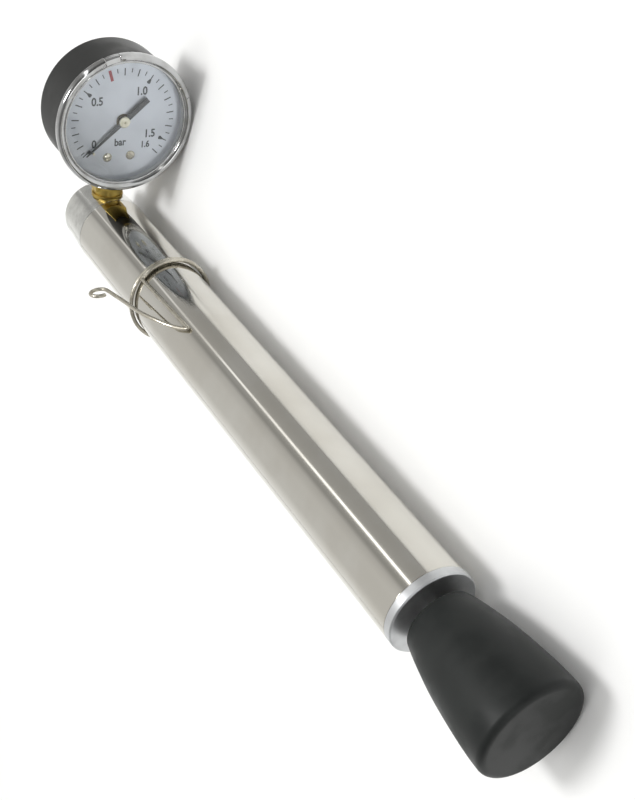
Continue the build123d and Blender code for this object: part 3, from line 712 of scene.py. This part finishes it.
class PUMP_OT_pointer(bpy.types.Operator):
    """Tapered pointer with a broad tail, and its boss"""
    bl_idname = "pump.pointer"
    bl_label = "Pointer"

    def execute(self, context):
        along = np.array([-12.05, -12.0, -6.0, -2.2, -1.6, 1.5, 8.0, 14.0, 18.6, 18.98])
        half = np.array([1.03, 1.1, 1.1, 1.1, 0.76, 0.74, 0.56, 0.4, 0.26, 0.05])
        x, y, w = bar_of(half, along, POINTER_FRONT_Y, POINTER_BACK_Y, 0.05)
        blade = about_pointer(x, y, w), False, True
        caps = [self.end_cap(about_pointer(x[end], y[end], w[end])) for end in (0, -1)]
        disc = eased(
            [(0, DISC_FRONT_Y), (2.0, DISC_FRONT_Y), (2.0, DISC_BACK_Y), (0, DISC_BACK_Y)],
            [0, 0.08, 0.08, 0],
        )
        add_surface(
            "pointer_blade", [blade, *caps, turned(disc, 48, GAUGE_Z)], "pointer_black", "needle",
            ["pointer"],
        )
        boss = eased(
            [(0, 216.28), (0.3, 216.25), (0.48, BOSS_FRONT_Y), (1.9, BOSS_FRONT_Y), (2.1, 216.12),
             (2.1, BOSS_BACK_Y), (0, BOSS_BACK_Y)],
            [0, 0.08, 0.06, 0.1, 0.1, 0, 0],
        )
        add_surface(
            "pointer_boss", [turned(boss, 64, GAUGE_Z)], "brass", "needle", ["pointer_hub"],
            material=finish("pale_brass"),
        )
        return {"FINISHED"}

    def end_cap(self, rim):
        """Closes an end of the blade with a fan from its rim to the rim's middle."""
        return np.stack([rim, np.broadcast_to(rim.mean(0), rim.shape)]), False, True


class PUMP_OT_dial_screws(bpy.types.Operator):
    """Two domed slotted screws that hold the dial

    Each dome is a cap of an ellipsoid over polar coordinates, lowered along its slot.
    """
    bl_idname = "pump.dial_screws"
    bl_label = "Dial screws"

    def execute(self, context):
        head_r, head_h = 1.75, 0.85
        grids = []
        for x, z, slot_turn in ((-5.8, -13.8, 0.5), (3.3, -13.8, -0.9)):
            r = np.linspace(0, 1, 25)[:, None] * head_r
            a = np.linspace(0, 2 * np.pi, 96, endpoint=False)[None, :]
            dome = head_h * np.sqrt(1 - 0.92 * (r / head_r) ** 2)
            across = np.abs(r * np.sin(a - slot_turn))
            slot = 0.4 * smooth_step((0.3 - across) / 0.1)
            y = DIAL_Y - np.maximum(dome - slot, 0.05)
            top = on_gauge(x + r * np.cos(a), y, z + r * np.sin(a))
            foot = on_gauge(x + head_r * np.cos(a), DIAL_Y + 0.02, z + head_r * np.sin(a))
            hub = on_gauge(x + 0 * a, DIAL_Y + 0.02, z + 0 * a)
            grids.append((np.concatenate([top, foot, hub]), False, True))
        add_surface(
            "screw_heads", grids, "brass", "barrel", ["dial_screws"], material=finish("screw_brass"),
        )
        return {"FINISHED"}


# ---- wire clip ----
def clip_line():
    """The line of the clip's wire, in bench millimetres, and the direction across its eye.

    A tilted helix round the barrel, a straight leg to the hairpin, a bowed leg back over it and
    the open eye, joined by running means that give each bend its radius.
    """
    turns, pitch, coil_r, tilt = 1.6, 1.45, 15.2, radians(9.1)
    a = radians(-48.7) + np.linspace(0, turns * 2 * np.pi, 700)
    x, y, z = coil_r * np.sin(a), pitch * (a - a[0]) / (2 * np.pi), coil_r * np.cos(a)
    coil = np.stack([x, y * np.cos(tilt) + z * np.sin(tilt), z * np.cos(tilt) - y * np.sin(tilt)], -1)
    coil += np.array([0.15, 168.28, 0.28])
    knots = np.array([
        (-13.4, 140.4, 8.8), (-16.4, 146.2, 8.4), (-18.6, 153.9, 7.2), (-20.2, 165.3, 5.6),
        (-21.3, 176.9, 3.4),
    ])
    hairpin = np.array([-10.0, 134.2, 10.9])
    chain = np.concatenate([coil[:1], hairpin[None], knots])
    slopes = np.gradient(chain, axis=0)
    slopes[1] = (-1.6, 0.4, -0.9)
    slopes[2] = (-3.4, 6.0, -0.9)
    first = chain[0] + (chain[1] - chain[0]) * np.linspace(0, 1, 120, endpoint=False)[:, None]
    back = hermite(chain[1:], slopes[1:], 60)
    ahead = back[-1] - back[-2]
    ahead /= np.linalg.norm(ahead)
    side = np.array([-0.97, 0, -0.1])
    side -= ahead * (side @ ahead)
    side /= np.linalg.norm(side)
    t = np.radians(np.linspace(0, 290, 160))[1:, None]
    eye = back[-1] + 3.1 * ((1 - np.cos(t)) * side + np.sin(t) * ahead)
    line = np.concatenate([coil[::-1], first[1:], back, eye])
    return evenly(line, WIRE_STEP), np.cross(side, ahead)


def evenly(line, step):
    """The line again, with points a fixed step apart and its corners eased by a running mean."""
    run = np.concatenate([[0], np.cumsum(np.linalg.norm(np.diff(line, axis=0), axis=1))])
    at = np.linspace(0, run[-1], int(run[-1] / step))
    even = np.stack([np.interp(at, run, line[:, k]) for k in range(3)], -1)
    width = 9
    padded = np.concatenate([np.repeat(even[:1], width, 0), even, np.repeat(even[-1:], width, 0)])
    kernel = np.hanning(2 * width + 1)
    kernel /= kernel.sum()
    return np.stack([np.convolve(padded[:, k], kernel, "valid") for k in range(3)], -1)


class PUMP_OT_clip(bpy.types.Operator):
    """Spring-wire clip: a coil round the barrel, a sprung leg and an open eye

    A circle is carried along the wire's line, in the plane of a normal that leans away from the
    barrel's centre line and, near the eye, across the eye. The wire thins to a rounded end.
    """
    bl_idname = "pump.clip"
    bl_label = "Wire clip"

    def execute(self, context):
        wire_r = context.scene.pump_body.wire_diameter / MM / 2
        line, eye_up = clip_line()
        tangent = np.gradient(line, axis=0)
        tangent /= np.linalg.norm(tangent, axis=1, keepdims=True)
        run = np.arange(len(line)) * WIRE_STEP
        radial = np.stack([line[:, 0], 0 * run, line[:, 2]], -1)
        radial /= np.linalg.norm(radial, axis=1, keepdims=True)
        w = smooth_step((run - (run[-1] - 26)) / 9)[:, None] * np.pi / 2
        ref = np.cos(w) * radial + np.sin(w) * eye_up
        normal = ref - tangent * (ref * tangent).sum(1, keepdims=True)
        normal /= np.linalg.norm(normal, axis=1, keepdims=True)
        binormal = np.cross(tangent, normal)
        from_end = np.minimum(run, run[-1] - run)[:, None]
        thick = wire_r * np.sqrt(np.clip(1 - (1 - np.clip(from_end / 0.35, 0, 1)) ** 2 * 0.75, 0, 1))
        a = np.linspace(0, 2 * np.pi, WIRE_SIDES, endpoint=False)[None, :, None]
        outward = np.cos(a) * normal[:, None] + np.sin(a) * binormal[:, None]
        tube = line[:, None] + thick[:, None] * outward
        poles = np.broadcast_to(line[[0, -1], None], (2, WIRE_SIDES, 3))
        closed = np.concatenate([poles[:1], tube, poles[1:]])
        grid = place(closed[..., 0], closed[..., 1], closed[..., 2]), False, True
        add_surface("clip_wire", [grid], "spring_steel", "clip", ["wire_clip"])
        return {"FINISHED"}


# ---- valve spring ----
class PUMP_OT_valve_spring(bpy.types.Operator):
    """Coil spring behind the valve; the real one shortens as the valve lifts, this one is built at one
    length

    A helix: y grows evenly with the angle a, and the wire's circle stands round it in the plane of the
    radius and y. The first and last circles close to a point.
    """
    bl_idname = "pump.valve_spring"
    bl_label = "Valve spring"

    def execute(self, context):
        low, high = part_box("valve_spring")
        wire_r, coil_r, turns, lift = 0.25, 2.1, 4.5, 1.5
        first = (low[1] - COLLAR_Y) / MM + wire_r
        last = (high[1] - COLLAR_Y) / MM - wire_r
        t = np.linspace(0, 1, 217)[:, None]
        b = np.linspace(0, 2 * np.pi, 16, endpoint=False)[None, :]
        thick = wire_r * np.where((t == 0) | (t == 1), 0, 1)
        a = turns * 2 * np.pi * t
        r = coil_r + thick * np.cos(b)
        y = first + (last - first) * t + thick * np.sin(b)
        grid = place(r * np.cos(a), y, r * np.sin(a)), False, True
        spring = add_surface("valve_coil", [grid], "spring_steel", "barrel", ["valve_spring"])
        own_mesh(spring)
        return {"FINISHED"}


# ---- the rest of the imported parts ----
class PUMP_OT_parts(bpy.types.Operator):
    """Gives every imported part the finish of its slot"""
    bl_idname = "pump.parts"
    bl_label = "Packed parts"

    def execute(self, context):
        # the movement's front plate gets a darker brass as painted shade for the shade inside the
        # dial's hole; the stop pin gets a pale brass, its own colour
        shade_dark_or_pale = {"movement_front_plate": "shade_dark_brass", "stop_pin": "pale_brass"}
        for part in frame["record"]["subparts"]:
            node = frame["nodes"][part["node"]]
            for slot in node.material_slots:
                slot.material = finish(shade_dark_or_pale.get(part["node"], part["material_slot"]))
        return {"FINISHED"}


# ---- stage ----
def studio_room(world):
    """A plain pale room: its brightness goes with the angle round the y axis.

    It is pale on the left and overhead, greyer to the right with one long window there, and dimmer
    behind the grip.
    """
    world.use_nodes = True
    tree = world.node_tree
    background = tree.nodes["Background"]
    where = tree.nodes.new("ShaderNodeTexCoord")
    parts = tree.nodes.new("ShaderNodeSeparateXYZ")
    tree.links.new(where.outputs["Generated"], parts.inputs[0])
    angle = sum_node(tree, "ARCTAN2", parts.outputs[2], parts.outputs[0])
    turn = sum_node(tree, "DIVIDE", angle, radians(180))
    ramp = tree.nodes.new("ShaderNodeValToRGB")
    stops = ramp.color_ramp.elements
    stops[0].position, stops[0].color = 0.0, (0.45, 0.45, 0.445, 1)
    stops[1].position, stops[1].color = 1.0, (1.06, 1.06, 1.05, 1)
    for position, grey in (
        (0.13, 0.46), (0.2, 0.49), (0.3, 0.45), (0.345, 0.38), (0.40, 0.64), (0.52, 0.75),
        (0.8, 0.77), (0.9, 0.92),
    ):
        stop = stops.new(position)
        stop.color = (grey, grey * 0.995, grey * 0.975, 1)
    tree.links.new(turn, ramp.inputs["Fac"])
    off_line = sum_node(tree, "ABSOLUTE", sum_node(tree, "SUBTRACT", turn, 0.257), None)
    window = ranged(tree, off_line, 0.021, 0.005)
    near = ranged(tree, parts.outputs[1], 0.48, 0.8, 1.0, 0.13)
    glow = sum_node(tree, "MULTIPLY", sum_node(tree, "MULTIPLY", window, near), 3.2)
    behind = ranged(tree, parts.outputs[1], -0.75, 0.2, 0.3, 1.0)
    dimmed = tree.nodes.new("ShaderNodeMix")
    dimmed.data_type = "RGBA"
    dimmed.blend_type = "MULTIPLY"
    dimmed.inputs["Factor"].default_value = 1.0
    tree.links.new(ramp.outputs["Color"], dimmed.inputs["A"])
    tree.links.new(behind, dimmed.inputs["B"])
    lit = tree.nodes.new("ShaderNodeMix")
    lit.data_type = "RGBA"
    lit.blend_type = "ADD"
    lit.inputs["Factor"].default_value = 1.0
    tree.links.new(dimmed.outputs["Result"], lit.inputs["A"])
    tree.links.new(glow, lit.inputs["B"])
    tree.links.new(lit.outputs["Result"], background.inputs["Color"])


def soft_light(name, spot, aim, size, power, seen_in_gloss):
    """A round area light in metres and watts, turned to face a point."""
    light = bpy.data.lights.new(name, "AREA")
    light.shape = "DISK"
    light.size = size
    light.energy = power
    lamp = bpy.data.objects.new(name, light)
    lamp.location = spot
    lamp.rotation_euler = (Vector(aim) - Vector(spot)).to_track_quat("-Z", "Y").to_euler()
    lamp.visible_glossy = seen_in_gloss
    bpy.context.scene.collection.objects.link(lamp)


class PUMP_OT_stage(bpy.types.Operator):
    """Pale table, soft room, three lights and the camera"""
    bl_idname = "pump.stage"
    bl_label = "Stage"

    def execute(self, context):
        settings = context.scene.pump_stage
        reach = np.array([-12.0, 12.0])
        x, y = np.meshgrid(reach, reach, indexing="ij")
        mesh = mesh_of("table_top", [(np.stack([x, y, 0 * x - 0.00004], -1), False, False)])
        tidy_mesh(mesh, smooth=False)
        table = bpy.data.objects.new("table_top", mesh)
        context.scene.collection.objects.link(table)
        if mesh.polygons[0].normal.z < 0:
            mesh.flip_normals()
        mesh.materials.append(self.table_finish(settings.floor_colour))
        world = bpy.data.worlds.new("room")
        context.scene.world = world
        studio_room(world)
        soft_light("key", (0.13, 0.14, 1.0), (0, 0, 0), 0.26, settings.key_power, True)
        soft_light("ceiling", (0, 0, 1.4), (0, 0, 0), 2.4, settings.ceiling_power, False)
        soft_light("fill", (0.07, -1.25, 0.34), (0, 0.1, 0.02), 0.5, settings.fill_power, True)
        self.camera(context)
        context.scene.view_settings.view_transform = "Standard"
        return {"FINISHED"}

    def table_finish(self, colour):
        """White laminate with faint clouding."""
        material = bpy.data.materials.new("Table laminate")
        material.use_nodes = True
        tree = material.node_tree
        shader = tree.nodes["Principled BSDF"]
        where = tree.nodes.new("ShaderNodeTexCoord")
        cloud = ranged(tree, noise_node(tree, where.outputs["Object"], 9.0), 0.3, 0.7)
        blend = tree.nodes.new("ShaderNodeMix")
        blend.data_type = "RGBA"
        blend.inputs["A"].default_value = (*colour, 1)
        blend.inputs["B"].default_value = (*(np.array(colour) * 0.975), 1)
        tree.links.new(cloud, blend.inputs["Factor"])
        tree.links.new(blend.outputs["Result"], shader.inputs["Base Color"])
        shader.inputs["Roughness"].default_value = 0.42
        shader.inputs["Specular IOR Level"].default_value = 0.3
        return material

    def camera(self, context):
        """Looks down the barrel from above the grip, turned so that the barrel rises to the left."""
        ahead = Vector((-0.4614, 0.6667, -0.5854)).normalized()
        right = Vector((0.3062, -0.4997, -0.8103))
        right = (right - ahead * right.dot(ahead)).normalized()
        up = right.cross(ahead)
        data = bpy.data.cameras.new("camera")
        data.lens = 53.55
        data.clip_start = 0.01
        eye = bpy.data.objects.new("camera", data)
        turn = Matrix((right, up, -ahead)).transposed()
        eye.matrix_world = Matrix.Translation((0.15639, -0.2649, 0.22654)) @ turn.to_4x4()
        context.scene.collection.objects.link(eye)
        context.scene.camera = eye


OPERATORS = [
    PUMP_OT_stage, PUMP_OT_parts, PUMP_OT_barrel, PUMP_OT_collar, PUMP_OT_grip, PUMP_OT_bezel,
    PUMP_OT_dial_marks, PUMP_OT_dial_numbers, PUMP_OT_pointer, PUMP_OT_dial_screws, PUMP_OT_clip,
    PUMP_OT_valve_spring,
]


class PUMP_PT_panel(bpy.types.Panel):
    bl_idname = "PUMP_PT_panel"
    bl_label = "Gauge pump"
    bl_space_type = "VIEW_3D"
    bl_region_type = "UI"
    bl_category = "Pump"

    def draw(self, context):
        for settings in (context.scene.pump_body, context.scene.pump_gauge, context.scene.pump_stage):
            box = self.layout.box()
            for name in settings.__annotations__:
                box.prop(settings, name)
        for operator in OPERATORS:
            self.layout.operator(operator.bl_idname)


SETTINGS = {
    "pump_body": PumpBodySettings, "pump_gauge": PumpGaugeSettings, "pump_stage": PumpStageSettings,
}


def register():
    for cls in (*SETTINGS.values(), *OPERATORS, PUMP_PT_panel):
        bpy.utils.register_class(cls)
    for name, cls in SETTINGS.items():
        setattr(bpy.types.Scene, name, bpy.props.PointerProperty(type=cls))


def unregister():
    for name in SETTINGS:
        delattr(bpy.types.Scene, name)
    for cls in reversed((*SETTINGS.values(), *OPERATORS, PUMP_PT_panel)):
        bpy.utils.unregister_class(cls)


def main():
    register()
    for operator in OPERATORS:
        group, name = operator.bl_idname.split(".")
        getattr(getattr(bpy.ops, group), name)()
    bpy.context.view_layer.update()


if __name__ == "__main__":
    main()
